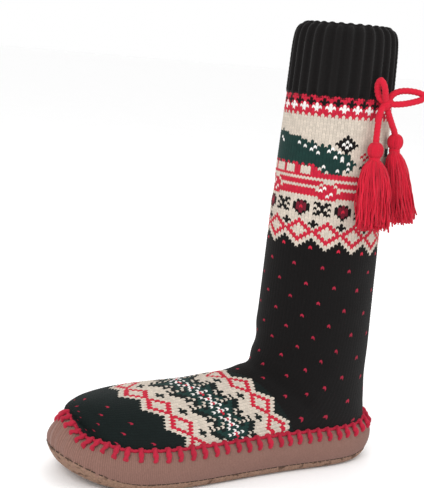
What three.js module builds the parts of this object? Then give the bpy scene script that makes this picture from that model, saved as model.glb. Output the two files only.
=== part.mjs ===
// Slipper sock, left foot: a tall knitted sock on a padded sole, with a tied
// cord and two tassels at the outer side of the leg.
// Units are millimetres. +Z is up, the toe points to -Y and the wearer's left
// (the outer side) is +X. The origin is on the floor under the middle.
import * as THREE from 'three';

// Driving dimensions
const SOLE_LENGTH = 260;            // over the padded sidewall
const SIDEWALL_OUT = 7.2;           // how far the sidewall bulges past the knit
const TOE_PAD = { from: -84, to: -118, out: 5.4 };  // further bulge round the toe
const STITCH_HEIGHT = 28;           // where the knit is whipped to the sidewall
const TOE_CLIMB = { from: -75, to: -118, rise: 17.5 };  // the stitch line's climb there
const TOE_SPRING = { from: -75, rise: 11.7 };       // the sole's own turn-up
const HEEL_SPRING = { from: 94, rise: 6.5 };
const HEM_BELOW_STITCH = 13;
const OUTSOLE_THICKNESS = 6.7;
const INSOLE_THICKNESS = 4.7;
const GAP = 0.3;                    // between two pieces that lie together
const KNIT_CLEAR = 0.8;             // from the knit to the sidewall's faceted inside
const KNIT_WALL = 2.2;
const CUFF_WALL = 3.6;
const RIB_COUNT = 28;
const RIB_DEPTH = 1.1;
const CUFF_FROM = 273.5;             // height where the ribs begin
const CORD_RADIUS = 2;
const KNOT_RADIUS = 4.8;
const TASSEL_LOCKS = 9;

const HALF_LENGTH = SOLE_LENGTH / 2;
const INSOLE_BOTTOM = OUTSOLE_THICKNESS + GAP;
const INSOLE_TOP = INSOLE_BOTTOM + INSOLE_THICKNESS;

// Sections of the knitted upper, from the toe tip over the instep and round
// the heel to the collar. Each is an oval in a slanted plane. top is the point
// over the instep or shin, mid the widest place on the line to the back point.
// Along the foot mid lies on the stitch line, so rise is 0 there.
const SECTIONS = [
  // name, top y, top z, mid y, rise, back, lateral, medial, power
  ['toe_tip',     -117.6,  47.6, -118.0,   0,  26,  0,    0,    2.0],
  ['toe_front',   -115.6,  50.2, -116.6,   0,  26, 11,   12,    2.0],
  ['toe_round',   -109.6,  53.4, -111.2,   0,  26, 20.5, 22,    2.1],
  ['toe_box',     -100.5,  56,   -101,     0,  25, 30,   31.5,  2.2],
  ['ball_front',   -87.5,  58,    -84.5,   0,  25, 38,   38.2,  2.3],
  ['ball',         -71,    60,    -63,     0,  26, 42.8, 40.6,  2.3],
  ['ball_back',    -52,    61.8,  -38,     0,  28, 42.6, 38,    2.3],
  ['mid_foot',     -33,    63.6,  -13,     0,  30, 39.6, 33.6,  2.2],
  ['waist',        -14,    65.8,   11,     0,  32, 36.4, 30.6,  2.2],
  ['instep',         4,    68.4,   33,     0,  36, 34.2, 29.8,  2.1],
  ['ankle_front',   17.5,  72,     50,     1.5, 42, 33,   30.2, 2.1],
  ['ankle_low',     25,    76.4,   60.5,   8,  48, 33,   31,    2.1],
  ['ankle_mid',     28.2,  80.6,   67,    18,  56, 34.4, 33.2,  2.1],
  ['heel_low',      29.4,  84.8,   71,    29,  61, 35.8, 35,    2.1],
  ['heel_mid',      29.9,  89.4,   73,    40.5, 53.4, 36.6, 36.2, 2.0],
  ['heel_top',      30.1,  95,     74,    53,  47.2, 37.3, 37,  2.0],
  ['leg_low',       30.3, 103,     74.5,  71,  45, 37.6, 37.4,  2.0],
  ['leg_calf',      31.2, 122,     75,    93.5, 44, 37.6, 37.6, 2.0],
  ['leg_mid',       32.2, 150,     75.5, 122,  43.5, 37.3, 37.3, 2.0],
  ['leg_high',      33.6, 190,     76.2, 162,  42.7, 36.8, 36.8, 2.0],
  ['leg_pattern',   35.3, 230,     77,   202,  41.8, 36.1, 36.1, 2.0],
  ['leg_band',      37,   264,     77.6, 236,  40.7, 35.3, 35.3, 2.0],
  ['cuff_start',    37.8, CUFF_FROM, 77.8, CUFF_FROM - STITCH_HEIGHT, 40.2, 35, 35, 2.0],
  ['cuff_low',     38.6, 289,     78.2, 261,  39.8, 34.8, 34.8, 2.0],
  ['cuff_high',    39.6, 311,     78.6, 283,  39,   34.2, 34.2, 2.0],
  ['cuff_turn',    41.6, 321.4,   78.8, 293.4, 37.2, 32.6, 32.6, 2.0],
  ['collar',       46.4, 326.4,   79,   298.4, 32.6, 28.4, 28.4, 2.0],
].map(([name, topY, topZ, midY, rise, back, lateral, medial, power]) =>
  ({ name, topY, topZ, midY, rise, back, lateral, medial, power }));

const rowOf = name => SECTIONS.findIndex(row => row.name === name);
const CUFF_ROW = rowOf('cuff_start');
const COLLAR_ROW = SECTIONS.length - 1;

// Profile of the padded sidewall: out from the stitch line, share of the toe's
// padding, and height as a share of the way from the seam to the stitch line.
const SIDEWALL_PROFILE = [
  { out: KNIT_CLEAR, pad: 0.85, up: 0 },
  { out: 5.4, pad: 1, up: 0 },
  { out: 6.7, pad: 1, up: 0.19 },
  { out: SIDEWALL_OUT, pad: 0.88, up: 0.43 },
  { out: 6.5, pad: 0.55, up: 0.67 },
  { out: 4.6, pad: 0.22, up: 0.87 },
  { out: 2.2, pad: 0.02, up: 0.99 },
  { out: KNIT_CLEAR, pad: 0, up: 1 },
  { out: KNIT_CLEAR, pad: 0.1, up: 0.6 },
];

// Edge of the outsole, from the floor up, and of the insole on top of it.
const OUTSOLE_PROFILE = [
  { out: -3, pad: 0.3, z: 0 },
  { out: 1.5, pad: 0.6, z: 0.9 },
  { out: 3.8, pad: 0.85, z: 2.7 },
  { out: 4.9, pad: 1, z: 4.9 },
  { out: 5, pad: 1, z: OUTSOLE_THICKNESS },
];

const INSOLE_PROFILE = [
  { out: -0.6, pad: 0.6, z: INSOLE_BOTTOM },
  { out: -0.6, pad: 0.6, z: INSOLE_TOP - 0.8 },
  { out: -1.6, pad: 0.6, z: INSOLE_TOP },
];

// Routes of the tie, in the part's own millimetres. The knot sits on the
// outer side of the leg, a little behind, where the ribs begin.
const KNOT = [37.4, 95.8, 273.4];
const LOOP_UP = [
  [36.4, 91, 276.6], [36.6, 88.3, 281.2], [38.2, 86.6, 286.2], [41.2, 87, 289.4],
  [43.6, 89.2, 287.2], [43.2, 91.6, 282.4], [41.2, 93.2, 277.8],
];
const LOOP_BACK = [
  [38.4, 98.4, 278.2], [39.2, 102.6, 281.8], [41.4, 108.4, 283.4], [45, 115, 283.2],
  [48, 119.4, 281.6], [48.4, 118.6, 278.4], [46.8, 113.4, 276.2], [44.4, 107.4, 274.4],
  [41.6, 101, 273.4],
];
const CORD_FRONT = [
  [38.6, 91.8, 269.6], [39.2, 89.6, 264.6], [39.4, 88.6, 258.4], [39.9, 87.8, 252],
  [40.8, 87, 247.2],
];
const CORD_BACK = [
  [37.2, 98.2, 268.2], [36.2, 101.6, 262.4], [34.9, 105, 257.2], [33.6, 108, 253],
];
const TASSELS = [
  // ball is the tassel's head, foot the middle of its brush end, wide its half width
  { name: 'tassel_front', ball: [42.2, 86.2, 239.9], foot: [48.2, 84.6, 186.5], wide: 13.6, thick: 8.6 },
  { name: 'tassel_back', ball: [32.6, 110.4, 246], foot: [31.2, 123.2, 189.5], wide: 12.6, thick: 8.4 },
];
const BALL_RADIUS = 5.8;
const NECK_DROP = 7.4;
const NECK_RADIUS = 4.4;
const LOCK_COLUMNS = 4;             // corners round each lock of a brush
const RAGGED_ENDS = 5;              // how far the locks' ends differ
const BRUSH_HOLLOW = 4;             // the brush's end is a shallow hollow
const LEG_AXIS_Y = 78;
const KNOT_SHAPE = [0.86, 0.96, 1];

// Small helpers
const lerp = (a, b, t) => a + (b - a) * t;
const clamp = (x, low, high) => Math.min(high, Math.max(low, x));

function springLift(y) {
  const toe = clamp((TOE_SPRING.from - y) / (HALF_LENGTH + TOE_SPRING.from), 0, 1.1);
  const heel = clamp((y - HEEL_SPRING.from) / (HALF_LENGTH - HEEL_SPRING.from), 0, 1.1);
  return TOE_SPRING.rise * toe * toe + HEEL_SPRING.rise * heel * heel;
}

// Height of the line where the knit meets the sidewall.
function stitchHeight(y) {
  const climb = clamp((TOE_CLIMB.from - y) / (TOE_CLIMB.from - TOE_CLIMB.to), 0, 1.05);
  const heel = clamp((y - HEEL_SPRING.from) / (HALF_LENGTH - HEEL_SPRING.from), 0, 1.1);
  return STITCH_HEIGHT + TOE_CLIMB.rise * climb ** 3 + HEEL_SPRING.rise * heel * heel;
}

const hemHeight = y => stitchHeight(y) - HEM_BELOW_STITCH;

function toePad(y) {
  const t = clamp((TOE_PAD.from - y) / (TOE_PAD.from - TOE_PAD.to), 0, 1);
  return TOE_PAD.out * t * t * (3 - 2 * t);
}

function catmullRom(p0, p1, p2, p3, t) {
  return 0.5 * (2 * p1 + (p2 - p0) * t + (2 * p0 - 5 * p1 + 4 * p2 - p3) * t * t
    + (3 * p1 - p0 - 3 * p2 + p3) * t * t * t);
}

// One section of the upper at row number v, which may lie between two rows.
function sectionAt(v) {
  const i = clamp(Math.floor(v), 0, COLLAR_ROW - 1);
  const rows = [i - 1, i, i + 1, i + 2].map(k => SECTIONS[clamp(k, 0, COLLAR_ROW)]);
  const at = key => catmullRom(...rows.map(row => row[key]), v - i);
  const midY = at('midY');
  const mid = [midY, stitchHeight(midY) + at('rise')];
  const top = [at('topY'), at('topZ')];
  const length = Math.hypot(top[0] - mid[0], top[1] - mid[1]);
  return {
    mid, length,
    slope: [(top[0] - mid[0]) / length, (top[1] - mid[1]) / length],
    back: at('back'),
    lateral: Math.max(0, at('lateral')),
    medial: Math.max(0, at('medial')),
    power: at('power'),
  };
}

// A point of the upper's outer face: angle 0 is over the instep, +90 lateral.
function upperPoint(v, angle) {
  const s = sectionAt(v);
  const round = 2 / s.power;
  const c = Math.cos(angle);
  const along = Math.sign(c) * Math.abs(c) ** round * (c > 0 ? s.length : s.back);
  const side = Math.sin(angle);
  const width = side > 0 ? s.lateral : s.medial;
  // Below its middle a section never leans out towards the toe.
  const lean = c < 0 ? -Math.abs(s.slope[0]) : s.slope[0];
  return new THREE.Vector3(
    Math.sign(side) * Math.abs(side) ** round * width,
    s.mid[0] + lean * along,
    s.mid[1] + s.slope[1] * along,
  );
}

// The angle at which a section comes down to a line along the foot.
function angleAtHeight(v, heightAt, sign) {
  const above = angle => {
    const p = upperPoint(v, angle * sign);
    return p.z - heightAt(p.y);
  };
  if (above(Math.PI) > 0) return Math.PI;
  let low = 0;
  let high = Math.PI;
  for (let step = 0; step < 40; step++) {
    const middle = (low + high) / 2;
    if (above(middle) > 0) low = middle; else high = middle;
  }
  return low;
}

// The row whose back point just reaches such a line at the heel.
function rowWhereClosed(heightAt) {
  let low = rowOf('instep');
  let high = rowOf('leg_low');
  for (let step = 0; step < 40; step++) {
    const middle = (low + high) / 2;
    if (angleAtHeight(middle, heightAt, 1) < Math.PI) low = middle; else high = middle;
  }
  return high;
}

// Closed meshes are gathered as corner positions and triangles.
class Shell {
  constructor() { this.positions = []; this.triangles = []; }
  point(p) { this.positions.push(p.x, p.y, p.z); return this.positions.length / 3 - 1; }
  triangle(a, b, c) {
    if (a !== b && b !== c && a !== c) this.triangles.push(a, b, c);
  }
  quad(a, b, c, d) { this.triangle(a, b, c); this.triangle(a, c, d); }
  // Joins two rows of corners; the second may have twice as many.
  bridge(lower, upper) {
    const steps = lower.length - 1;
    if (upper.length === lower.length) {
      for (let j = 0; j < steps; j++) this.quad(lower[j], lower[j + 1], upper[j + 1], upper[j]);
      return;
    }
    for (let j = 0; j < steps; j++) {
      this.triangle(lower[j], upper[2 * j + 1], upper[2 * j]);
      this.triangle(lower[j], lower[j + 1], upper[2 * j + 1]);
      this.triangle(lower[j + 1], upper[2 * j + 2], upper[2 * j + 1]);
    }
  }
  geometry() {
    const geometry = new THREE.BufferGeometry();
    geometry.setAttribute('position', new THREE.Float32BufferAttribute(this.positions, 3));
    geometry.setIndex(this.triangles);
    return outwardFacing(geometry);
  }
}

function outwardFacing(geometry) {
  const p = geometry.getAttribute('position');
  const index = geometry.getIndex();
  const corner = [0, 1, 2].map(() => new THREE.Vector3());
  let volume = 0;
  for (let i = 0; i < index.count; i += 3) {
    corner.forEach((c, k) => c.fromBufferAttribute(p, index.getX(i + k)));
    volume += corner[0].dot(corner[1].clone().cross(corner[2]));
  }
  if (volume < 0) {
    for (let i = 0; i < index.count; i += 3) {
      const first = index.getX(i);
      index.setX(i, index.getX(i + 2));
      index.setX(i + 2, first);
    }
  }
  geometry.computeVertexNormals();
  return geometry;
}

// The knitted upper
const COLUMNS = 56;
const FOOT_STEPS = 15;
const LEG_STEPS = 7;
const CUFF_STEPS = 4;

// Ribs stand on the cuff, fading in at its lower edge and out at the collar.
function ribLift(v, angle) {
  const fade = clamp((v - CUFF_ROW) / 0.35, 0, 1) * clamp((COLLAR_ROW - v) / 0.6, 0.25, 1);
  return RIB_DEPTH * fade * Math.cos(angle * RIB_COUNT);
}

function wallAt(v) {
  return lerp(KNIT_WALL, CUFF_WALL, clamp((v - CUFF_ROW) / 1.0, 0, 1));
}

function upperNormal(v, angle) {
  const e = 0.02;
  const across = upperPoint(v, angle + e).sub(upperPoint(v, angle - e));
  const low = Math.max(v - e, 0);
  const high = Math.min(v + e, COLLAR_ROW);
  const along = upperPoint(high, angle).sub(upperPoint(low, angle));
  return across.cross(along).normalize();
}

function upperRow(shell, v, closedAt, columns, inner) {
  const span = [-1, 1].map(sign => (v >= closedAt ? Math.PI : angleAtHeight(v, hemHeight, sign)));
  const row = [];
  for (let j = 0; j <= columns; j++) {
    const u = (2 * j) / columns - 1;
    const angle = u * (u < 0 ? span[0] : span[1]);
    if (j === columns && v >= closedAt) { row.push(row[0]); continue; }
    if (v === 0 && j > columns / 2) { row.push(row[columns - j]); continue; }
    const p = upperPoint(v, angle);
    const n = v === 0 ? new THREE.Vector3(0, -1, 0) : upperNormal(v, angle);
    if (inner) p.addScaledVector(n, -wallAt(v));
    else if (columns > COLUMNS) p.addScaledVector(n, ribLift(v, angle));
    row.push(shell.point(p));
  }
  return row;
}

function upperGeometry() {
  const shell = new Shell();
  const closedAt = rowWhereClosed(hemHeight);
  const steps = [];
  for (let k = 0; k <= FOOT_STEPS; k++) steps.push({ v: closedAt * (k / FOOT_STEPS), ribs: false });
  for (let k = 1; k <= LEG_STEPS; k++) {
    steps.push({ v: lerp(closedAt, CUFF_ROW, k / LEG_STEPS), ribs: false });
  }
  for (let k = 0; k <= CUFF_STEPS; k++) {
    const t = k / CUFF_STEPS;
    steps.push({ v: lerp(CUFF_ROW + 0.35, COLLAR_ROW, t), ribs: true });
  }
  const outer = steps.map(s => upperRow(shell, s.v, closedAt, s.ribs ? 2 * COLUMNS : COLUMNS, false));
  const inner = steps.map(s => upperRow(shell, s.v, closedAt, COLUMNS, true));
  for (let k = 1; k < steps.length; k++) {
    shell.bridge(outer[k - 1], outer[k]);
    shell.bridge([...inner[k - 1]].reverse(), [...inner[k]].reverse());
  }
  // The collar's rim joins the ribbed outside to the plain inside.
  shell.bridge([...inner.at(-1)].reverse(), [...outer.at(-1)].reverse());
  // The hem under the foot, on both sides, from the toe to the heel.
  for (let k = 1; k <= FOOT_STEPS; k++) {
    shell.quad(inner[k - 1][0], outer[k - 1][0], outer[k][0], inner[k][0]);
    const last = COLUMNS;
    shell.quad(outer[k - 1][last], inner[k - 1][last], inner[k][last], outer[k][last]);
  }
  return shell.geometry();
}

// The sole, built round the stitch line
const OUTLINE_STEPS = 34;           // on each side, from toe to heel
const OUTLINE_SAMPLES = 170;

// Points at even spacing along a polyline, its two ends included.
function evenlySpaced(points, steps) {
  const reach = [0];
  for (let i = 1; i < points.length; i++) {
    reach.push(reach[i - 1] + points[i].distanceTo(points[i - 1]));
  }
  const even = [];
  for (let k = 0, i = 0; k <= steps; k++) {
    const want = (reach.at(-1) * k) / steps;
    while (i < points.length - 2 && reach[i + 1] < want) i++;
    const t = clamp((want - reach[i]) / (reach[i + 1] - reach[i]), 0, 1);
    even.push(points[i].clone().lerp(points[i + 1], t));
  }
  return even;
}

// The line where the knit meets the sidewall, with its outward directions.
function stitchOutline() {
  const closedAt = rowWhereClosed(stitchHeight);
  const side = sign => {
    const points = [];
    for (let k = 0; k <= OUTLINE_SAMPLES; k++) {
      const v = closedAt * (k / OUTLINE_SAMPLES) ** 1.3;
      const p = upperPoint(v, angleAtHeight(v, stitchHeight, sign) * sign);
      points.push(new THREE.Vector2(p.x, p.y));
    }
    return evenlySpaced(points, OUTLINE_STEPS);
  };
  const lateral = side(1);
  const medial = side(-1).reverse().slice(1, -1);
  const points = [...lateral, ...medial];
  const count = points.length;
  return points.map((p, i) => {
    const before = points[(i + count - 1) % count];
    const after = points[(i + 1) % count];
    const t = after.clone().sub(before).normalize();
    return { x: p.x, y: p.y, nx: t.y, ny: -t.x };
  });
}

const OUTLINE = stitchOutline();

// A ring round the outline. A plate's ring has a height z above the floor's
// line, a band's ring lies a share up of the way to the stitch line.
function outlineRing(shell, { out, pad, z, up }) {
  return OUTLINE.map(o => {
    const far = (out + pad * toePad(o.y)) * OUTWARD;
    const x = o.x + o.nx * far;
    const y = o.y + o.ny * far;
    const floor = springLift(y);
    const height = up === undefined ? z + floor
      : lerp(INSOLE_BOTTOM + floor, stitchHeight(o.y), up);
    return shell.point(new THREE.Vector3(x, y, height));
  });
}

// The outline runs toe, lateral, heel, medial: its normals point outward when
// the sign below is +1, which the toe's own normal shows.
const OUTWARD = OUTLINE[0].ny < 0 ? 1 : -1;

const closedRow = row => [...row, row[0]];

// A plate whose rings are stacked, capped by strips from side to side.
function plateGeometry(profile) {
  const shell = new Shell();
  const rings = profile.map(step => outlineRing(shell, step));
  for (let k = 1; k < rings.length; k++) shell.bridge(closedRow(rings[k - 1]), closedRow(rings[k]));
  const cap = (ring, flip) => {
    const count = ring.length;
    for (let i = 0; i < count / 2; i++) {
      const a = ring[i];
      const b = ring[i + 1];
      const c = ring[(count - i - 1) % count];
      const d = ring[(count - i) % count];
      if (flip) shell.quad(a, d, c, b); else shell.quad(a, b, c, d);
    }
  };
  cap(rings[0], true);
  cap(rings.at(-1), false);
  return shell.geometry();
}

// A band whose profile is swept all the way round the stitch line.
function bandGeometry(profile) {
  const shell = new Shell();
  const rings = profile.map(step => outlineRing(shell, step));
  rings.forEach((ring, k) => {
    shell.bridge(closedRow(ring), closedRow(rings[(k + 1) % rings.length]));
  });
  return shell.geometry();
}

// The tie and its tassels
function cordGeometry(route, radius = CORD_RADIUS) {
  const curve = new THREE.CatmullRomCurve3(route.map(p => new THREE.Vector3(...p)), false, 'centripetal');
  const lengthSteps = 4 * (route.length - 1);
  const sides = 8;
  const frames = curve.computeFrenetFrames(lengthSteps, false);
  const shell = new Shell();
  const rings = [];
  for (let i = 0; i <= lengthSteps; i++) {
    const centre = curve.getPointAt(i / lengthSteps);
    const ring = [];
    for (let k = 0; k < sides; k++) {
      const a = (2 * Math.PI * k) / sides;
      ring.push(shell.point(centre.clone()
        .addScaledVector(frames.normals[i], radius * Math.cos(a))
        .addScaledVector(frames.binormals[i], radius * Math.sin(a))));
    }
    rings.push(ring);
  }
  for (let i = 1; i < rings.length; i++) shell.bridge(closedRow(rings[i - 1]), closedRow(rings[i]));
  capFan(shell, rings[0], curve.getPointAt(0), true);
  capFan(shell, rings.at(-1), curve.getPointAt(1), false);
  return shell.geometry();
}

function capFan(shell, ring, centre, flip) {
  const middle = shell.point(centre);
  const row = closedRow(ring);
  for (let k = 0; k < ring.length; k++) {
    if (flip) shell.triangle(middle, row[k + 1], row[k]);
    else shell.triangle(middle, row[k], row[k + 1]);
  }
}

function knotGeometry() {
  const geometry = new THREE.IcosahedronGeometry(KNOT_RADIUS, 2);
  geometry.deleteAttribute('uv');
  geometry.deleteAttribute('normal');
  const seen = new Map();
  const shell = new Shell();
  const p = geometry.getAttribute('position');
  const index = i => {
    const v = new THREE.Vector3().fromBufferAttribute(p, i);
    const key = [v.x, v.y, v.z].map(c => Math.round(c * 1000)).join();
    v.multiply(new THREE.Vector3(...KNOT_SHAPE));
    if (!seen.has(key)) seen.set(key, shell.point(v));
    return seen.get(key);
  };
  for (let i = 0; i < p.count; i += 3) shell.triangle(index(i), index(i + 1), index(i + 2));
  return shell.geometry();
}

// Ball, neck and brush in one solid. The brush is parted into locks whose
// ends hang to unlike lengths.
const TASSEL_PROFILE = [
  // t runs from the ball's top, 0, to the brush's end, 1
  { drop: -0.96, radius: 0.3 }, { drop: -0.6, radius: 0.8 }, { drop: 0, radius: 1 },
  { drop: 0.62, radius: 0.8 },
];

function tasselGeometry({ ball, foot, wide, thick }) {
  const shell = new Shell();
  const columns = TASSEL_LOCKS * LOCK_COLUMNS;
  const top = new THREE.Vector3(...ball);
  const end = new THREE.Vector3(...foot);
  const outward = new THREE.Vector3(top.x, top.y - LEG_AXIS_Y, 0).normalize();
  const sideways = new THREE.Vector3(-outward.y, outward.x, 0);
  const rings = [];
  const addRing = (centre, halfWide, halfThick, lock, ragged) => {
    const ring = [];
    for (let k = 0; k < columns; k++) {
      const a = (2 * Math.PI * k) / columns;
      const grow = 1 + lock * Math.cos(a * TASSEL_LOCKS);
      const p = centre.clone()
        .addScaledVector(sideways, halfWide * grow * Math.cos(a))
        .addScaledVector(outward, halfThick * grow * Math.sin(a));
      const number = Math.floor((k + LOCK_COLUMNS / 2) / LOCK_COLUMNS) % TASSEL_LOCKS;
      const uneven = ((number * 5) % TASSEL_LOCKS) / TASSEL_LOCKS - 0.5;
      const tip = k % LOCK_COLUMNS === 0 ? -0.5 : 0;
      p.z += ragged * (uneven + tip);
      ring.push(shell.point(p));
    }
    rings.push(ring);
  };
  for (const { drop, radius } of TASSEL_PROFILE) {
    const centre = top.clone().setZ(top.z - drop * BALL_RADIUS);
    addRing(centre, BALL_RADIUS * radius, BALL_RADIUS * radius, 0, 0);
  }
  const neck = top.clone().setZ(top.z - NECK_DROP);
  addRing(neck, NECK_RADIUS, NECK_RADIUS, 0.03, 0);
  const brush = [
    { t: 0.12, swell: 0.5, lock: 0.05 }, { t: 0.35, swell: 0.72, lock: 0.07 },
    { t: 0.7, swell: 0.93, lock: 0.09 }, { t: 1, swell: 1, lock: 0.11, ragged: RAGGED_ENDS },
  ];
  for (const { t, swell, lock, ragged = 0 } of brush) {
    addRing(neck.clone().lerp(end, t), wide * swell, thick * swell, lock, ragged);
  }
  for (let i = 1; i < rings.length; i++) shell.bridge(closedRow(rings[i - 1]), closedRow(rings[i]));
  capFan(shell, rings[0], top.clone().setZ(top.z + BALL_RADIUS), true);
  capFan(shell, rings.at(-1), end.clone().setZ(end.z + BRUSH_HOLLOW), false);
  return shell.geometry();
}

// Assembly
const material = (color, roughness) => new THREE.MeshStandardMaterial({ color, roughness, metalness: 0 });
const KNIT = material(0x241f20, 0.92);
const TAUPE = material(0x96705a, 0.95);
const SUEDE = material(0xa98a6c, 0.96);
const LINING = material(0xd8cbb8, 0.97);
const RED_YARN = material(0xd01f36, 0.9);

function add(group, name, geometry, finish, position = [0, 0, 0]) {
  const mesh = new THREE.Mesh(geometry, finish);
  mesh.name = name;
  mesh.position.set(...position);
  group.add(mesh);
}

const sock = new THREE.Group();
add(sock, 'outsole', plateGeometry(OUTSOLE_PROFILE), SUEDE);
add(sock, 'insole', plateGeometry(INSOLE_PROFILE), LINING);
add(sock, 'sidewall', bandGeometry(SIDEWALL_PROFILE), TAUPE);
add(sock, 'knit_upper', upperGeometry(), KNIT);
add(sock, 'bow_knot', knotGeometry(), RED_YARN, KNOT);
add(sock, 'bow_loop_up', cordGeometry(LOOP_UP), RED_YARN);
add(sock, 'bow_loop_back', cordGeometry(LOOP_BACK), RED_YARN);
add(sock, 'cord_front', cordGeometry(CORD_FRONT), RED_YARN);
add(sock, 'cord_back', cordGeometry(CORD_BACK), RED_YARN);
for (const tassel of TASSELS) add(sock, tassel.name, tasselGeometry(tassel), RED_YARN);

export default sock;
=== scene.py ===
"""A slipper sock for the left foot: a tall patterned knit on a padded sole, with
a tied cord and two tassels. Shapes are worked out in millimetres, in the CAD
part's own frame, and become metres when a mesh is made."""
import math

import bpy
import numpy as np
from mathutils import Matrix, Vector


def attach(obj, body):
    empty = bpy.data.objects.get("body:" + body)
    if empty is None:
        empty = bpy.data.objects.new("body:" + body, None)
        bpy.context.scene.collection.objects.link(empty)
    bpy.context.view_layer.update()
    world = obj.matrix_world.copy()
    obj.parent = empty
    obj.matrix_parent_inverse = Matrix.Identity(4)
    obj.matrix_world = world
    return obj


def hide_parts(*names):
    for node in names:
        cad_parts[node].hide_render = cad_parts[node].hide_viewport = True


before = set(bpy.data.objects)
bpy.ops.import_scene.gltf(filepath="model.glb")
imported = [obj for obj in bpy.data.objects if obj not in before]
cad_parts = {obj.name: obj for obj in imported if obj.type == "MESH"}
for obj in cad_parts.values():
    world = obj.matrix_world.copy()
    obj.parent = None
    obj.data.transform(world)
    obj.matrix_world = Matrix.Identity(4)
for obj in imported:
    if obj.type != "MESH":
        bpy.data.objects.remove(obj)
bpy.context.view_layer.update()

MM = 0.001
BODY = "root"
PHOTO_LONG_SIDE = 488
SENSOR = 36.0
UP = np.array((0.0, 0.0, 1.0))
LEVEL = 1 - UP  # takes the height out of a direction
WHITE = (1.0, 1.0, 1.0)

noise = np.random.default_rng(17)


def vary(least, spread, count=None):
    """A random number, or count of them, from least up to least + spread."""
    return least + spread * noise.random(count)


def add_object(name, data):
    made = bpy.data.objects.new(name, data)
    bpy.context.collection.objects.link(made)
    return made


# The camera stands where the photograph was taken from.
CAMERA_AT = (0.685, -0.373, 0.294)
CAMERA_RIGHT = (0.4466, 0.8909, 0.0832)
CAMERA_UP = (-0.1854, 0.0012, 0.9827)
CAMERA_BACK = (0.8753, -0.4543, 0.1657)
CAMERA_FOCAL_PIXELS = 1094


def make_camera():
    data = bpy.data.cameras.new("camera")
    data.sensor_width = SENSOR
    data.lens = CAMERA_FOCAL_PIXELS / PHOTO_LONG_SIDE * SENSOR
    data.clip_start = 0.01
    camera = add_object("camera", data)
    turn = Matrix((CAMERA_RIGHT, CAMERA_UP, CAMERA_BACK)).transposed()
    camera.matrix_world = Matrix.Translation(CAMERA_AT) @ turn.to_4x4()
    bpy.context.scene.camera = camera


make_camera()


# Materials. Every one has its colour, grain and bump from nodes.
def linear(*levels):
    """A colour from its red, green and blue, each from 0 to 255."""
    return tuple((c / 255) ** 2.2 for c in levels)


YARNS = {
    # by their letters in the charts
    "K": linear(18, 15, 15),  # the dark ground
    "G": linear(28, 58, 54),
    "R": linear(202, 38, 62),
    "P": linear(168, 38, 62),  # single dots
    "D": linear(112, 30, 46),
    "C": linear(216, 203, 188),
    "W": linear(246, 242, 238),
}
TOE_GROUND = linear(20, 30, 29)
RED_CORD = linear(204, 30, 54)
RED_EDGE = linear(176, 34, 58)
SEAM_THREAD = linear(66, 50, 44)
TAUPE = linear(136, 102, 92)
SUEDE = linear(136, 108, 92)
SCUFF = (0.28, 0.24, 0.22)
FLEECE = linear(226, 214, 198)
SPECULAR = 0.25
SHEEN_ROUGHNESS = 0.5
DARK_STOP, LIGHT_STOP = 0.3, 0.7  # where a ramp's two shades begin


class Nodes:
    """Short names for building one material's node tree."""

    def __init__(self, name, roughness, sheen=0.0, sheen_tint=WHITE):
        self.material = bpy.data.materials.new(name)
        self.material.use_nodes = True
        self.tree = self.material.node_tree
        self.shader = self.tree.nodes["Principled BSDF"]
        self.fill(self.shader, {
            "Roughness": roughness, "Specular IOR Level": SPECULAR, "Sheen Weight": sheen,
            "Sheen Roughness": SHEEN_ROUGHNESS, "Sheen Tint": (*sheen_tint, 1),
        })

    @staticmethod
    def fill(node, values):
        for key, value in values.items():
            node.inputs[key].default_value = value

    def add(self, kind, values, sources, **settings):
        """A node with its values filled in and its sources linked to it."""
        node = self.tree.nodes.new("ShaderNode" + kind)
        for key, value in settings.items():
            setattr(node, key, value)
        self.fill(node, values)
        for key, source in sources.items():
            self.tree.links.new(source, node.inputs[key])
        return node

    def noise(self, scale, detail, stretch=(1, 1, 1)):
        """Noise over the piece's own place, with scale counted in waves a metre."""
        place = self.add("TexCoord", {}, {}).outputs["Object"]
        mapping = self.add("Mapping", {"Scale": stretch}, {"Vector": place})
        node = self.add("TexNoise", {"Scale": scale, "Detail": detail},
                        {"Vector": mapping.outputs["Vector"]})
        return node.outputs["Fac"]

    def ramp(self, source, stops):
        node = self.add("ValToRGB", {}, {"Fac": source})
        for element, (position, colour) in zip(node.color_ramp.elements, stops):
            element.position = position
            element.color = (*colour, 1)
        return node.outputs["Color"]

    def multiply(self, first, second, factor=1):
        node = self.add("Mix", {"Factor": factor}, {}, data_type="RGBA", blend_type="MULTIPLY")
        sockets = [i for i in node.inputs if i.type == "RGBA"]
        for socket, source in zip(sockets, (first, second)):
            self.tree.links.new(source, socket)
        return [o for o in node.outputs if o.type == "RGBA"][0]

    def colour(self, socket):
        self.tree.links.new(socket, self.shader.inputs["Base Color"])

    def bump(self, height, strength, distance):
        values = {"Strength": strength, "Distance": distance}
        node = self.add("Bump", values, {"Height": height})
        self.tree.links.new(node.outputs["Normal"], self.shader.inputs["Normal"])


def shades(colour, dark, light):
    """Two stops of a ramp, darker and lighter than a colour."""
    return [
        (DARK_STOP, tuple(c * dark for c in colour)),
        (LIGHT_STOP, tuple(min(1, c * light) for c in colour)),
    ]


def yarn_material(name, roughness, sheen, fibres_per_metre, dark):
    """Knitted or wound yarn whose colour is painted stitch by stitch, with painted shade in the hollows
    of the knit and the jersey.
    """
    nodes = Nodes(name, roughness, sheen)
    painted = nodes.add("Attribute", {}, {}, attribute_name="yarn")
    fibres = nodes.noise(scale=fibres_per_metre, detail=4)
    patches = nodes.noise(scale=45, detail=2)
    fine = nodes.ramp(fibres, shades(WHITE, dark, light=1))
    broad = nodes.ramp(patches, shades(WHITE, dark=0.94, light=1))
    nodes.colour(nodes.multiply(nodes.multiply(painted.outputs["Color"], fine), broad))
    nodes.bump(fibres, strength=0.5, distance=0.0003)
    return nodes.material


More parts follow.
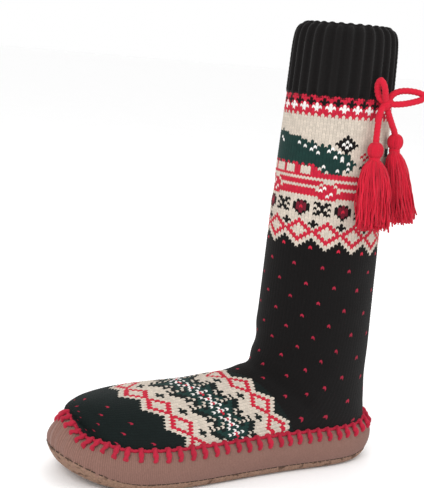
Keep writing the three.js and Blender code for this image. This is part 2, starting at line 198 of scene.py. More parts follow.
def suede_material(name):
    nodes = Nodes(name, roughness=0.95, sheen=0.2, sheen_tint=SUEDE)
    grain = nodes.noise(scale=700, detail=5)
    base = nodes.ramp(grain, shades(SUEDE, dark=0.7, light=1.15))
    scuffs = nodes.noise(scale=160, detail=4, stretch=(1, 1, 1.6))
    marks = nodes.ramp(scuffs, [(0.36, SCUFF), (0.44, WHITE)])
    nodes.colour(nodes.multiply(base, marks, factor=0.85))
    nodes.bump(grain, strength=0.5, distance=0.0006)
    return nodes.material


def fleece_material(name):
    nodes = Nodes(name, roughness=0.98, sheen=0.3, sheen_tint=FLEECE)
    curls = nodes.noise(scale=380, detail=5)
    nodes.colour(nodes.ramp(curls, shades(FLEECE, dark=0.74, light=1.04)))
    nodes.bump(curls, strength=0.9, distance=0.0012)
    return nodes.material


KNIT_MATERIAL = yarn_material("knit_yarn", roughness=0.95, sheen=0.05, fibres_per_metre=1500, dark=0.8)
INSIDE_MATERIAL = fleece_material("inside_fleece")
RED_MATERIAL = yarn_material("red_wool", roughness=0.9, sheen=0.06, fibres_per_metre=1900, dark=0.74)
SUEDE_MATERIAL = suede_material("suede")
TAUPE_MATERIAL = yarn_material("taupe_jersey", roughness=0.95, sheen=0.1, fibres_per_metre=900, dark=0.82)


# Meshes
def add_mesh(name, points, faces, material, colours=None, node=None):
    """A piece from points in millimetres and faces as arrays of corner numbers.
    Colours are given by face or by face corner. A node is one that it replaces."""
    data = bpy.data.meshes.new(name)
    points = np.asarray(points, dtype=np.float32) * MM
    groups = [np.asarray(group, dtype=np.int32) for group in faces if len(group)]
    corners = np.concatenate([group.ravel() for group in groups])
    totals = np.concatenate([np.full(len(group), group.shape[1]) for group in groups])
    data.vertices.add(len(points))
    data.vertices.foreach_set("co", points.ravel())
    data.loops.add(len(corners))
    data.loops.foreach_set("vertex_index", corners)
    data.polygons.add(len(totals))
    data.polygons.foreach_set("loop_start", running_sum(totals[:-1]).astype(np.int32))
    data.polygons.foreach_set("loop_total", totals.astype(np.int32))
    data.polygons.foreach_set("use_smooth", np.full(len(totals), True))
    data.update(calc_edges=True)
    if colours is not None:
        layer = data.color_attributes.new("yarn", "FLOAT_COLOR", "CORNER")
        painted = np.asarray(colours, dtype=np.float32)
        if len(painted) == len(totals):
            painted = np.repeat(painted, totals, axis=0)
        painted = np.hstack([painted, np.ones((len(painted), 1), dtype=np.float32)])
        layer.data.foreach_set("color", painted.ravel())
    data.materials.append(material)
    data.validate()
    piece = add_object(name, data)
    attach(piece, BODY)
    if node:
        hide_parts(node)
    return piece


def grid_faces(rows, columns, closed=False):
    """Quads over a grid of points kept row after row."""
    across = columns if closed else columns - 1
    r, c = np.divmod(np.arange((rows - 1) * across), across)
    here = r * columns + c
    after = r * columns + (c + 1) % columns
    return np.stack([here, after, after + columns, here + columns], axis=1)


def used_part(points, faces):
    """The points that the faces use, and the faces numbered by them."""
    used, place = np.unique(faces, return_inverse=True)
    return points[used], place.reshape(faces.shape)


def unit(vectors):
    length = np.linalg.norm(vectors, axis=-1, keepdims=True)
    return vectors / np.maximum(length, 1e-9)


def running_sum(steps):
    return np.concatenate([[0], np.cumsum(steps)])


def reaches(points):
    """How far along a path each of its points lies."""
    return running_sum(np.linalg.norm(np.diff(points, axis=0), axis=1))


def points_along(points, want):
    """Points of a path at the wanted distances along it."""
    reach = reaches(points)
    return np.stack([np.interp(want, reach, column) for column in points.T], axis=1)


def catmull_rom(p0, p1, p2, p3, t):
    """The point at a share t between p1 and p2, on a smooth curve through all four."""
    return 0.5 * (2 * p1 + (p2 - p0) * t + (2 * p0 - 5 * p1 + 4 * p2 - p3) * t ** 2
                  + (3 * p1 - p0 - 3 * p2 + p3) * t ** 3)


def between_rows(table, place):
    """Rows of a table at whole or broken row numbers, smoothly."""
    i = np.clip(np.floor(place).astype(int), 0, len(table) - 2)
    rows = [table[np.clip(i + k, 0, len(table) - 1)] for k in (-1, 0, 1, 2)]
    return catmull_rom(*rows, (place - i)[..., None])


def signed_power(wave, power):
    return np.sign(wave) * np.abs(wave) ** power


def smooth_step(t):
    return t * t * (3 - 2 * t)


def share_of_way(value, start, end, most=1.0):
    """How far a value has come from start to end: 0 before it, and most at most."""
    return np.clip((value - start) / (end - start), 0, most)


END_BULGE = 0.6  # a tube's end stands out by this share of its radius
NEARLY_UPRIGHT = 0.95
PATH_STEPS = 16


class Batch:
    """Many small tubes gathered into one mesh."""

    def __init__(self, colour):
        self.colour = np.array(colour)
        self.tubes = []
        self.count = 0

    def tube(self, path, radius, sides, plies=0, ply_depth=0.0, turns=0.0, shade=1.0):
        """A tube with rounded ends. Plies are raised strands that twist round it."""
        path = np.asarray(path, dtype=float)
        steps = len(path)
        along = unit(np.gradient(path, axis=0))
        across = np.zeros_like(path)
        reference = UP
        if abs(np.dot(reference, along[0])) > NEARLY_UPRIGHT:
            reference = np.array((1.0, 0.0, 0.0))
        for i in range(steps):
            reference = reference - np.dot(reference, along[i]) * along[i]
            reference = reference / np.linalg.norm(reference)
            across[i] = reference
        other = np.cross(along, across)
        angle = np.linspace(0, 2 * math.pi, sides, endpoint=False)[None, :]
        share = np.linspace(0, 1, steps)[:, None]
        reach = radius * (1 + ply_depth * np.cos(plies * (angle - 2 * math.pi * turns * share)))
        out = np.cos(angle)[..., None] * across[:, None] + np.sin(angle)[..., None] * other[:, None]
        rings = (path[:, None] + reach[..., None] * out).reshape(-1, 3)
        bulge = along * radius * END_BULGE
        points = np.vstack([rings, path[0] - bulge[0], path[-1] + bulge[-1]])
        k = np.arange(sides)
        after = (k + 1) % sides
        tip = np.full(sides, len(rings))
        fans = np.vstack([np.stack([tip, after, k], axis=1),
                          np.stack([tip + 1, tip - sides + k, tip - sides + after], axis=1)])
        quads = grid_faces(steps, sides, True)
        self.tubes.append((points, self.count + quads, self.count + fans, shade))
        self.count += len(points)

    def piece(self, name, node=None, slot="red_yarn"):
        points, quads, fans, shade = zip(*self.tubes)
        shade = [np.repeat(shade, [len(group) for group in faces]) for faces in (quads, fans)]
        colours = np.concatenate(shade)[:, None] * self.colour
        faces = [np.concatenate(quads), np.concatenate(fans)]
        return add_mesh(name, np.concatenate(points), faces, RED_MATERIAL, colours, node)


def smooth_path(points, steps):
    """A Catmull-Rom curve through the points, at even steps along its length."""
    points = np.asarray(points, dtype=float)
    padded = np.vstack([2 * points[0] - points[1], points, 2 * points[-1] - points[-2]])
    fine = []
    for i in range(1, len(padded) - 2):
        for t in np.linspace(0, 1, PATH_STEPS, endpoint=False):
            fine.append(catmull_rom(*padded[i - 1:i + 3], t))
    fine = np.array(fine + [padded[-2]])
    return points_along(fine, np.linspace(0, reaches(fine)[-1], steps))


# The tie: cords, loops, knot and tassels. Its routes are those of the CAD part,
# moved forward by up to about 3 mm to meet the photograph.
KNOT = (38.2, 92.6, 273.4)
ROUTES = {
    # from the knot to the knot or to a tassel's ball
    "bow_loop_up": [
        (37.2, 87.8, 276.6), (37.4, 85.1, 281.2), (39, 83.4, 286.2), (41.6, 83.6, 289.4),
        (44, 84.8, 287), (43.8, 86.8, 282.4), (41.8, 89, 277.8),
    ],
    "bow_loop_back": [
        (39.2, 95.2, 278.2), (40, 99.4, 281.8), (42.2, 105.2, 283.4), (45.8, 111.8, 283.2),
        (48.8, 116.2, 281.6), (49.2, 115.4, 278.4), (47.6, 110.2, 276.2), (45.2, 104.2, 274.4),
        (42.4, 97.8, 273.4),
    ],
    "cord_front": [
        (39.4, 88.8, 269.6), (40, 87, 264.6), (40.1, 86.4, 258.4), (40.5, 86, 252), (41.3, 85.4, 247.2),
    ],
    "cord_back": [(38, 95.1, 268.2), (37, 98.7, 262.4), (35.8, 102.3, 257.2), (34.5, 105.5, 253)],
}
TASSELS = {
    "tassel_front": dict(ball=(42.6, 84.8, 239.9), foot=(48.2, 84.8, 186.5), wide=13.8, thick=9.4),
    "tassel_back": dict(ball=(33.4, 108, 246), foot=(31.4, 122.6, 189.5), wide=15.6, thick=8.8),
}
CORD_RADIUS = 2.25
CORD_TWIST = 8.25  # length of one turn of the cord's plies
LEG_AXIS_Y = 78


def make_cord(name, route, tassel):
    """A cord from the knot to a tassel, or a loop back to the knot."""
    hangs = tassel in TASSELS
    path = smooth_path([KNOT, *route, TASSELS[tassel]["ball"] if hangs else KNOT], 12 * (len(route) + 2))
    length = float(reaches(path)[-1])
    batch = Batch(RED_CORD)
    batch.tube(path, CORD_RADIUS, sides=24, plies=3, ply_depth=0.06, turns=length / CORD_TWIST)
    piece = batch.piece(name + "_yarn", name)


KNOT_TURNS = [(0.5, 1.0), (-0.6, 0.4)]  # tilt in radians, and how far out from the leg
TURN_DEEP, TURN_REACH, TURN_LEAN, TURN_BACK = 2.0, 2.9, 1.0, 0.4
WRAP_DEEP, WRAP_WIDE, WRAP_TALL, WRAP_SUNK = 3.0, 0.9, 3.4, 0.4
TURN_RADIUS, WRAP_RADIUS = 2.0, 1.9
KNOT_YARN = dict(sides=20, plies=3, ply_depth=0.1)


def make_knot():
    """Two turns of cord that lie across each other, and a third wrapped over them."""
    batch = Batch(RED_CORD)
    centre = np.array(KNOT)
    turn = np.linspace(0, 2 * math.pi, 40)
    for tilt, lift in KNOT_TURNS:
        x = TURN_DEEP * np.cos(turn) + lift
        y = TURN_REACH * np.sin(turn) * math.cos(tilt) + TURN_BACK * lift
        z = TURN_REACH * np.sin(turn) * math.sin(tilt) + TURN_LEAN * np.cos(turn)
        batch.tube(centre + np.stack([x, y, z], axis=1), TURN_RADIUS, turns=4, **KNOT_YARN)
    wrap = np.linspace(-0.2, math.pi + 0.2, 24)
    over = np.outer(np.sin(wrap), (WRAP_DEEP, 0, 0)) + np.outer(np.cos(wrap), (0, WRAP_WIDE, WRAP_TALL))
    batch.tube(centre + over - (WRAP_SUNK, 0, 0), WRAP_RADIUS, turns=2, **KNOT_YARN)
    batch.piece("bow_knot_yarn", "bow_knot")


# A pair of numbers for vary holds the least value and how much may come on top.
BALL_STRANDS = 30
BALL_RADIUS = 5.8
BALL_INSET, CROWN_INSET = 0.7, 0.4  # how deep a strand's middle lies, at the side and the crown
BALL_FALL = np.linspace(0.16, math.pi * 0.86, 14)
BALL_SQUARE = 0.8  # under 1, the ball's sides are fuller than a globe's
BALL_UNEVEN = 0.3
BALL_YARN = (0.72, 0.08)
BALL_SHADE = (0.86, 0.2)
NECK_DROP = 6.4  # from the ball's middle to the neck's
BINDING_TURNS = 3.5
BINDING_REACH = 3.4
BINDING_TOP, BINDING_FALL = 1.2, 2.6
BINDING_RADIUS = 0.75
BRUSH_STRANDS = 340
BRUSH_FILL = 0.4  # under 0.5, more of the strands lie near the outside
BRUSH_SWELL = [(0, 0.24), (0.05, 0.44), (0.12, 0.66), (0.3, 0.86), (0.65, 0.96), (1, 0.95)]
BRUSH_YARN = (0.46, 0.2)
BRUSH_SHADE = (0.76, 0.4)
GOLDEN_ANGLE = 2.39996
RAGGED, RAGGED_MIDDLE = 8.0, 0.45
STRAY = 4.5  # how far a strand's foot may lie from its even place
CURL = 1.0
CURL_WAVES = (5, 6)


def add_ball(batch, place):
    """Strands that run over the ball from its crown to the neck."""
    for k in range(BALL_STRANDS):
        angle = 2 * math.pi * (k + BALL_UNEVEN * noise.random()) / BALL_STRANDS
        reach = (BALL_RADIUS - BALL_INSET) * np.sin(BALL_FALL) ** BALL_SQUARE
        strand = place(reach * math.cos(angle), reach * math.sin(angle),
                       (BALL_RADIUS - CROWN_INSET) * np.cos(BALL_FALL))
        batch.tube(strand, vary(*BALL_YARN), sides=6, shade=vary(*BALL_SHADE))


def add_binding(batch, place):
    """A few turns of yarn round the neck."""
    turn = np.linspace(0, 2 * math.pi * BINDING_TURNS, 80)
    binding = place(BINDING_REACH * np.cos(turn), BINDING_REACH * np.sin(turn),
                    turn / turn[-1] * -BINDING_FALL + BINDING_TOP)
    batch.tube(binding, BINDING_RADIUS, sides=8, plies=2, ply_depth=0.12, turns=9)


def make_tassel(name, ball, foot, wide, thick):
    batch = Batch(RED_CORD)
    top = np.array(ball)
    end = np.array(foot)
    neck = top - NECK_DROP * UP
    outward = unit(np.array((top[0], top[1] - LEG_AXIS_Y, 0.0)))
    sideways = np.array((-outward[1], outward[0], 0.0))

    def places_from(centre):
        """A function for points so far sideways, outward and up from a centre."""
        return lambda side, out, up: (centre + np.outer(side, sideways) + np.outer(out, outward)
                                      + np.outer(up, UP))

    add_ball(batch, places_from(top))
    add_binding(batch, places_from(neck))
    # The brush: strands fan out from the neck to ragged ends.
    t = np.linspace(0, 1, 15)[:, None]
    for k in range(BRUSH_STRANDS):
        spread = ((k + 0.5) / BRUSH_STRANDS) ** BRUSH_FILL * np.interp(t, *zip(*BRUSH_SWELL))
        angle = k * GOLDEN_ANGLE
        tip = end + RAGGED * (noise.random() - RAGGED_MIDDLE) * UP
        wander = STRAY * (noise.random(2) - 0.5)
        phase = 2 * math.pi * noise.random(2)
        waves = vary(*CURL_WAVES, 2)
        curl = [CURL * np.sqrt(t) * np.sin(waves[n] * t + phase[n]) + wander[n] * t for n in (0, 1)]
        strand = (neck + (tip - neck) * t + (wide * spread * math.cos(angle) + curl[0]) * sideways
                  + (thick * spread * math.sin(angle) + curl[1]) * outward)
        batch.tube(strand, vary(*BRUSH_YARN), sides=5, shade=vary(*BRUSH_SHADE))
    return batch.piece(name + "_yarn", name)


tassels = {name: make_tassel(name, **facts) for name, facts in TASSELS.items()}
make_knot()
for name, route in ROUTES.items():
    make_cord(name, route, name.replace("cord", "tassel"))


# The knitted upper's form: the CAD part's sections, from the toe to the collar.
HALF_LENGTH = 130
STITCH_HEIGHT = 28
TOE_CLIMB_FROM, TOE_CLIMB_TO, TOE_CLIMB_RISE = -75, -118, 17.5
TOE_SPRING_FROM, TOE_SPRING_RISE = -75, 11.7
HEEL_SPRING_FROM, HEEL_SPRING_RISE = 94, 6.5
TOE_PAD_FROM, TOE_PAD_TO = -84, -118
TOE_PAD_OUT = 4.4
TOE_DIP_FROM, TOE_DIP = -98, 5.2
INSOLE_BOTTOM = 7.0
CUFF_FROM = 273.5
SECTIONS = [
    # name, top y, top z, mid y, rise, back, lateral, medial, power
    ("toe_tip", -117.6, 47.6, -118.0, 0, 26, 0, 0, 2.0),
    ("toe_front", -115.6, 50.2, -116.6, 0, 26, 11, 12, 2.0),
    ("toe_round", -109.6, 53.4, -111.2, 0, 26, 20.5, 22, 2.1),
    ("toe_box", -100.5, 56, -101, 0, 25, 30, 31.5, 2.2),
    ("ball_front", -87.5, 58, -84.5, 0, 25, 38, 38.2, 2.3),
    ("ball", -71, 60, -63, 0, 26, 42.8, 40.6, 2.3),
    ("ball_back", -52, 61.8, -38, 0, 28, 42.6, 38, 2.3),
    ("mid_foot", -33, 63.6, -13, 0, 30, 39.6, 33.6, 2.2),
    ("waist", -14, 65.8, 11, 0, 32, 36.4, 30.6, 2.2),
    ("instep", 4, 68.4, 33, 0, 36, 34.2, 29.8, 2.1),
    ("ankle_front", 17.5, 72, 50, 1.5, 42, 33, 30.2, 2.1),
    ("ankle_low", 25, 76.4, 60.5, 8, 48, 33, 31, 2.1),
    ("ankle_mid", 28.2, 80.6, 67, 18, 56, 34.4, 33.2, 2.1),
    ("heel_low", 29.4, 84.8, 71, 29, 61, 35.8, 35, 2.1),
    ("heel_mid", 29.9, 89.4, 73, 40.5, 53.4, 36.6, 36.2, 2.0),
    ("heel_top", 30.1, 95, 74, 53, 47.2, 37.3, 37, 2.0),
    ("leg_low", 30.3, 103, 74.5, 71, 45, 37.6, 37.4, 2.0),
    ("leg_calf", 31.2, 122, 75, 93.5, 44, 37.6, 37.6, 2.0),
    ("leg_mid", 32.2, 150, 75.5, 122, 43.5, 37.3, 37.3, 2.0),
    ("leg_high", 33.6, 190, 76.2, 162, 42.7, 36.8, 36.8, 2.0),
    ("leg_pattern", 35.3, 230, 77, 202, 41.8, 36.1, 36.1, 2.0),
    ("leg_band", 37, 264, 77.6, 236, 40.7, 35.3, 35.3, 2.0),
    ("cuff_start", 37.8, CUFF_FROM, 77.8, CUFF_FROM - STITCH_HEIGHT, 40.2, 35, 35, 2.0),
    ("cuff_low", 38.6, 289, 78.2, 261, 39.8, 34.8, 34.8, 2.0),
    ("cuff_high", 39.6, 311, 78.6, 283, 39, 34.2, 34.2, 2.0),
    ("cuff_turn", 41.6, 321.4, 78.8, 293.4, 37.2, 32.6, 32.6, 2.0),
    ("collar", 46.4, 326.4, 79, 298.4, 32.6, 28.4, 28.4, 2.0),
]
NAMES = [row[0] for row in SECTIONS]
TABLE = np.array([row[1:] for row in SECTIONS], dtype=float)
CUFF_ROW = NAMES.index("cuff_start")  # rows are counted from the toe's tip up to the collar
COLLAR_ROW = len(NAMES) - 1


def heel_rise(y):
    return HEEL_SPRING_RISE * share_of_way(y, HEEL_SPRING_FROM, HALF_LENGTH, most=1.1) ** 2


def spring_lift(y):
    toe = share_of_way(y, TOE_SPRING_FROM, -HALF_LENGTH, most=1.1)
    return TOE_SPRING_RISE * toe ** 2 + heel_rise(y)


def stitch_height(y):
    """Height of the line where the knit meets the sidewall."""
    climb = share_of_way(y, TOE_CLIMB_FROM, TOE_CLIMB_TO, most=1.05)
    return STITCH_HEIGHT + TOE_CLIMB_RISE * climb ** 3 + heel_rise(y)


def seam_height(y):
    """Height of the visible seam, which stays low round the toe's corners and climbs late."""
    t = share_of_way(y, TOE_DIP_FROM, TOE_CLIMB_TO)
    # The factor 256 / 27 makes TOE_DIP the greatest depth of the dip.
    return stitch_height(y) - TOE_DIP * t ** 3 * (1 - t) * 256 / 27


def toe_pad(y):
    return TOE_PAD_OUT * smooth_step(share_of_way(y, TOE_PAD_FROM, TOE_PAD_TO))


def upper_point(v, angle):
    """Points of the knit's outer face. Angle 0 is over the instep, +90 lateral."""
    v, angle = np.broadcast_arrays(np.asarray(v, dtype=float), np.asarray(angle, dtype=float))
    columns = np.moveaxis(between_rows(TABLE, v), -1, 0)
    top_y, top_z, mid_y, rise, back, lateral, medial, power = columns
    mid_z = stitch_height(mid_y) + rise
    length = np.hypot(top_y - mid_y, top_z - mid_z)
    slope_y = (top_y - mid_y) / length
    slope_z = (top_z - mid_z) / length
    c = np.cos(angle)
    s = np.sin(angle)
    along = signed_power(c, 2 / power) * np.where(c > 0, length, back)
    across = signed_power(s, 2 / power) * np.maximum(np.where(s > 0, lateral, medial), 0)
    lean = np.where(c < 0, -np.abs(slope_y), slope_y)
    return np.stack([across, mid_y + lean * along, mid_z + slope_z * along], axis=-1)


NORMAL_STEP = 0.02


def upper_normal(v, angle):
    across = upper_point(v, angle + NORMAL_STEP) - upper_point(v, angle - NORMAL_STEP)
    along = (upper_point(np.minimum(v + NORMAL_STEP, COLLAR_ROW), angle)
             - upper_point(np.maximum(v - NORMAL_STEP, 0), angle))
    normal = np.cross(across, along)
    weak = np.linalg.norm(normal, axis=-1) < 1e-6
    normal[weak] = (0, -1, 0)
    return unit(normal)


def off_face(v, angle, lift):
    """Points so far out from the knit's outer face."""
    return upper_point(v, angle) + upper_normal(v, angle) * lift[..., None]


def below_seam(points, hem):
    """Which points lie further below the seam than a hem."""
    return points[:, 2] < seam_height(points[:, 1]) - hem


# Courses run round the knit and are counted from the cuff down. Wales run
# along it, 96 round, with wale 0 over the shin and wale 24 on the outer side.
WALES = 96
QUARTER = WALES // 4
COURSE = 1.87
TOE_COURSE = 1.9
CHART_RISE = 1.6  # the first course lies this far above the cuff's edge
LEG_EVEN = 71  # courses that keep one height down the leg
LEG_SAG = 4.5  # how far they hang lower at the side by then
BAND_FROM = 125  # first course of the foot's patterned band
BAND_ROWS = 49
BAND_MIDDLE = BAND_FROM + BAND_ROWS / 2
BAND_TO = BAND_FROM + BAND_ROWS
# The rows of sections where the band begins, has its middle and ends. It lies
# aslant: further forward over the instep than at the stitch line.
BAND_EDGES = [
    # angle from the instep in degrees, ankle side, middle, toe side
    (0, 8.95, 6.75, 3.85),
    (45, 9.85, 7.37, 4.82),
    (90, 9.72, 7.45, 5.62),
]
FOOT_QUARTER = math.radians(80)  # the angle that a quarter of the wales takes on the foot
FOOT_TWIST = math.radians(12)  # how far the knit is turned round the foot at the toe
FIELD_ROWS = np.linspace(0, CUFF_ROW, 900)
CUFF_ROW_STEP = SECTIONS[CUFF_ROW + 1][2] - CUFF_FROM


def reach_from_cuff(angle):
    """Lengths along one line of the knit from the cuff's edge, at FIELD_ROWS."""
    return reaches(upper_point(FIELD_ROWS[::-1], angle))[::-1]


BACK_REACH = reach_from_cuff(math.pi)


def rows_at_courses(angle, courses):
    """The row at each course number along one line of the knit."""
    reach = reach_from_cuff(angle)
    turn = abs(math.degrees(angle))
    table = np.array(BAND_EDGES)
    edges = []
    for column, course in ((1, BAND_FROM), (2, BAND_MIDDLE), (3, BAND_TO)):
        bend = np.polyfit(table[:, 0], table[:, column], 2)
        row = np.polyval(bend, min(turn, 90))
        if turn > 90:
            behind = np.interp(-course * COURSE - 2 * LEG_SAG, -BACK_REACH, FIELD_ROWS)
            row += (behind - row) * smooth_step((turn - 90) / 90)
        edges.append(np.interp(row, FIELD_ROWS, reach))
    tip = max(reach[0], edges[-1] + 1)
    sag = LEG_SAG * (1 - math.cos(angle))
    known_reach = [0, LEG_EVEN * COURSE - CHART_RISE + sag, *edges, tip]
    known_course = [CHART_RISE / COURSE, LEG_EVEN, BAND_FROM, BAND_MIDDLE, BAND_TO,
                    BAND_TO + (tip - edges[-1]) / TOE_COURSE]
    want = np.interp(courses, known_course, known_reach)
    rows = np.interp(-want, -reach, FIELD_ROWS)
    over = CHART_RISE - courses * COURSE
    rows[over > 0] = CUFF_ROW + over[over > 0] / CUFF_ROW_STEP
    return rows


LAST_COURSE = 222
LAYOUT_STEP = 0.5
LAYOUT_COURSES = np.arange(-2, LAST_COURSE + 2, LAYOUT_STEP)
COLUMNS_PER_WALE = 4
LAYOUT_WALES = np.arange(WALES * COLUMNS_PER_WALE + 1) / COLUMNS_PER_WALE - WALES / 2
LAYOUT_ANGLES = 145
LEAST_STEP = 1e-4


def lay_out_stitches():
    """Row and angle of every course line at every quarter of a wale."""
    fine = np.linspace(-math.pi, math.pi, LAYOUT_ANGLES)
    row_at = np.stack([rows_at_courses(angle, LAYOUT_COURSES) for angle in fine], axis=1)
    rings = upper_point(row_at, np.broadcast_to(fine, row_at.shape))
    angle_at = np.empty((len(LAYOUT_COURSES), len(LAYOUT_WALES)))
    v_at = np.empty_like(angle_at)
    quarter_columns = QUARTER * COLUMNS_PER_WALE
    for r, (course, ring) in enumerate(zip(LAYOUT_COURSES, rings)):
        foot = smooth_step(share_of_way(course, LEG_EVEN, BAND_FROM))
        quarter = math.pi / 2 + (FOOT_QUARTER - math.pi / 2) * foot
        twist = FOOT_TWIST * share_of_way(course, BAND_FROM, BAND_TO)
        borders = [-math.pi, twist - quarter, twist, twist + quarter, math.pi]
        reach = running_sum(np.linalg.norm(np.diff(ring, axis=0), axis=1) + LEAST_STEP)
        for q in range(4):
            ends = np.interp(borders[q:q + 2], fine, reach)
            want = np.linspace(*ends, quarter_columns + 1)
            spots = slice(q * quarter_columns, (q + 1) * quarter_columns + 1)
            angle_at[r, spots] = np.interp(want, reach, fine)
        v_at[r] = np.interp(angle_at[r], fine, row_at[r])
    return v_at, angle_at


LAYOUT_V, LAYOUT_ANGLE = lay_out_stitches()


def stitch_place(courses):
    """Row and angle at a course for every quarter wale. courses is rows by columns."""
    place = (courses - LAYOUT_COURSES[0]) / LAYOUT_STEP
    low = np.clip(np.floor(place).astype(int), 0, len(LAYOUT_COURSES) - 2)
    t = np.clip(place - low, 0, 1)
    column = np.broadcast_to(np.arange(courses.shape[1]), courses.shape)
    return [grid[low, column] * (1 - t) + grid[low + 1, column] * t for grid in (LAYOUT_V, LAYOUT_ANGLE)]


# Charts: a letter for each stitch.
TOP_BAND = [
    # four wales wide, from the cuff down
    "RRRR",
    "RRRK",
    "KRKK",
    "RWRK",
    "WWWR",
    "RWRR",
    "RRRR",
    "RCRC",
]
LATTICE = [
    # eight wales wide, from its first red stitch to the plain ground
    "KCCCRCCC",
    "KKCRRRCK",
    "KCRRCRRC",
    "CRRCCCRR",
    "RRCCCCCR",
    "CRRCCCRR",
    "CCRRCRRC",
    "KCCRRRCC",
    "KKCCRCCK",
    "KKKCCCKK",
    "RKKKCKKK",
]
FOOT_HALF_BAND = [
    # eight wales wide, from the band's edge to its middle
    "KKKKCKKK",
    *LATTICE[9:2:-1],
    "CCRRCRRC",
    "CCCRRRCC",
    "KCCCRCCC",
    "KKCCCCCK",
    "KCCCCCCC",
    "CCCCCCCC",
    "CKCCCCCC",
    "KKKCCCCK",
    "CKKKCKCC",
    "KGKKKKCK",
    "CGGKCKKK",
    "KKGGKCKG",
    "CKGGGKGG",
    "KGGWGGGC",
    "GWGGGWKG",
    "WGGWGGWG",
    "RGWRRGRW",
]
FLOWERS = [
    # twelve wales wide: a flower and a snowflake by turns
    "CCCCCCCCCCCC",
    "CCKDKCCKKCKK",
    "CKDDDKCCKKKC",
    "CKDRDKCKCKCK",
    "CKDDDKCCKKKC",
    "CCKDKCCKKCKK",
    "CCCKCCCCCCCC",
]
FLOWER_FROM = 39
LATTICE_FROM = 47
ROWS = {
    # by course: a row that repeats round the knit, and how far it is shifted
    first + k: (row, shift)
    for first, rows, shift in (
        (0, TOP_BAND, 0),
        (FLOWER_FROM, [*FLOWERS, "C"], -5),
        (LATTICE_FROM, LATTICE, 4),
        (BAND_FROM, FOOT_HALF_BAND + FOOT_HALF_BAND[-2::-1], -3),
    )
    for k, row in enumerate(rows)
}
DOTS_FROM = LATTICE_FROM + 10
DOT_STEP = 7
DOT_WALES = 8
DOTLESS = 4  # courses beside the foot's band that have no dots

# The leg's picture: a fir tree that lies on the roof of an old wagon. Each
# outline lists wale and course.
PICTURE_WALES = 48
PICTURE_FROM_WALE = -14
TREE_TOP = [
    (-11, 17), (-9, 13.4), (-7, 15), (-4, 14), (1, 15), (5, 16), (11, 17.6), (15, 18.8),
    (20, 20.6), (22, 24),
]
TREE_FOOT = [(-11, 22), (-9, 25), (-6, 26), (10, 25.6), (13, 27.6), (17, 28.4), (20, 27), (22, 24.4)]
TRUNK_WALES, TRUNK_ROWS = (-13, -10), (18, 20)
SNOW = [(-3, 17), (-2, 18), (5, 18), (7, 19), (9, 20), (10, 19), (11, 21), (14, 20), (16, 22), (15, 19),
        (18, 22), (19, 20), (18, 23), (20, 24), (20, 26), (17, 27), (13, 26), (21, 22), (17, 20)]
STAR = (19, 16.8, 3.8)  # wale, course and reach of a small dark diamond
STAR_FLECKS = [(18, 17), (20, 17), (19, 16), (19, 18)]
WAGON_ROOF = [(-12, 30), (-10, 26), (10, 26), (13, 28), (16, 29), (25, 29), (28, 32)]
WAGON_FLOOR = 37
WAGON_ENDS = (-12, 28)
WINDOWS = [(-8, -5), (-3, 0), (2, 4), (7, 9)]
WINDOW_ROWS = (27, 29)
WAGON_LINES = (31, 34)
WHEELS = [(-3, 36), (15, 36)]
WHEEL_REACH, ARCH_REACH = 2.6, 3.6
WHEEL_TALL = 1.3  # a stitch is wider than high, so a round wheel has more courses than wales
WHEEL_FLECKS = [(-2, -1), (-1, -2), (0, 1), (1, 0)]
BERRIES = [(24, 21), (25, 20), (25, 22), (26, 21)]
BERRY_LEAVES = [(25, 24), (26, 24), (24, 25), (26, 25), (25, 26)]
TEETH = (0.0, 0.6, -0.2, 0.4, -0.5)


def within(value, ends):
    return ends[0] <= value <= ends[1]


def picture_letter(course, wale):
    """A stitch of the picture that goes round the leg twice."""
    wale = (wale - PICTURE_FROM_WALE) % PICTURE_WALES + PICTURE_FROM_WALE
    for centre, hub in WHEELS:
        away = math.hypot(wale - centre, (course - hub) / WHEEL_TALL)
        if away <= WHEEL_REACH:
            return "W" if (wale - centre, course - hub) in WHEEL_FLECKS else "R"
        if away <= ARCH_REACH and course < hub:
            return "C"
    if (wale, course) in BERRIES:
        return "R"
    if (wale, course) in BERRY_LEAVES:
        return "K"
    if abs(wale - STAR[0]) + abs(course - STAR[1]) <= STAR[2]:
        return "W" if (wale, course) in STAR_FLECKS else "K"
    tooth = TEETH[wale % len(TEETH)]
    top = np.interp(wale, *zip(*TREE_TOP))
    foot = np.interp(wale, *zip(*TREE_FOOT))
    if TREE_TOP[0][0] < wale <= TREE_TOP[-1][0] and top + tooth <= course <= foot + tooth:
        return "W" if (wale, course) in SNOW else "G"
    if within(wale, TRUNK_WALES) and within(course, TRUNK_ROWS):
        return "K"
    roof = np.interp(wale, *zip(*WAGON_ROOF))
    if within(wale, WAGON_ENDS) and roof <= course <= WAGON_FLOOR:
        if within(course, WINDOW_ROWS) and any(within(wale, window) for window in WINDOWS):
            return "C"
        return "C" if course in WAGON_LINES else "R"
    return "C"


def yarn_letter(course, wale):
    """The letter of one stitch of the whole chart."""
    if course in ROWS:
        row, shift = ROWS[course]
        return row[(wale + shift) % len(row)]
    if 0 <= course < FLOWER_FROM:
        return picture_letter(course, wale)
    # Every other row of dots is moved by half of their distance.
    row, rest = divmod(course - DOTS_FROM, DOT_STEP)
    dotted = rest == 0 and (wale - DOT_WALES // 2 * ((row + 1) % 2)) % DOT_WALES == 0
    return "P" if dotted and not within(course, (BAND_FROM - DOTLESS, BAND_TO + DOTLESS - 1)) else "K"


def stitch_colours(courses, wales):
    """Linear colours of an array of stitches, each a little its own."""
    table = {}
    for key in zip(courses, wales):
        if key not in table:
            letter = yarn_letter(*key)
            dark_toe = letter == "K" and key[0] >= BAND_FROM
            table[key] = np.array(TOE_GROUND if dark_toe else YARNS[letter]) * vary(0.9, 0.2)
    return np.array([table[key] for key in zip(courses, wales)])


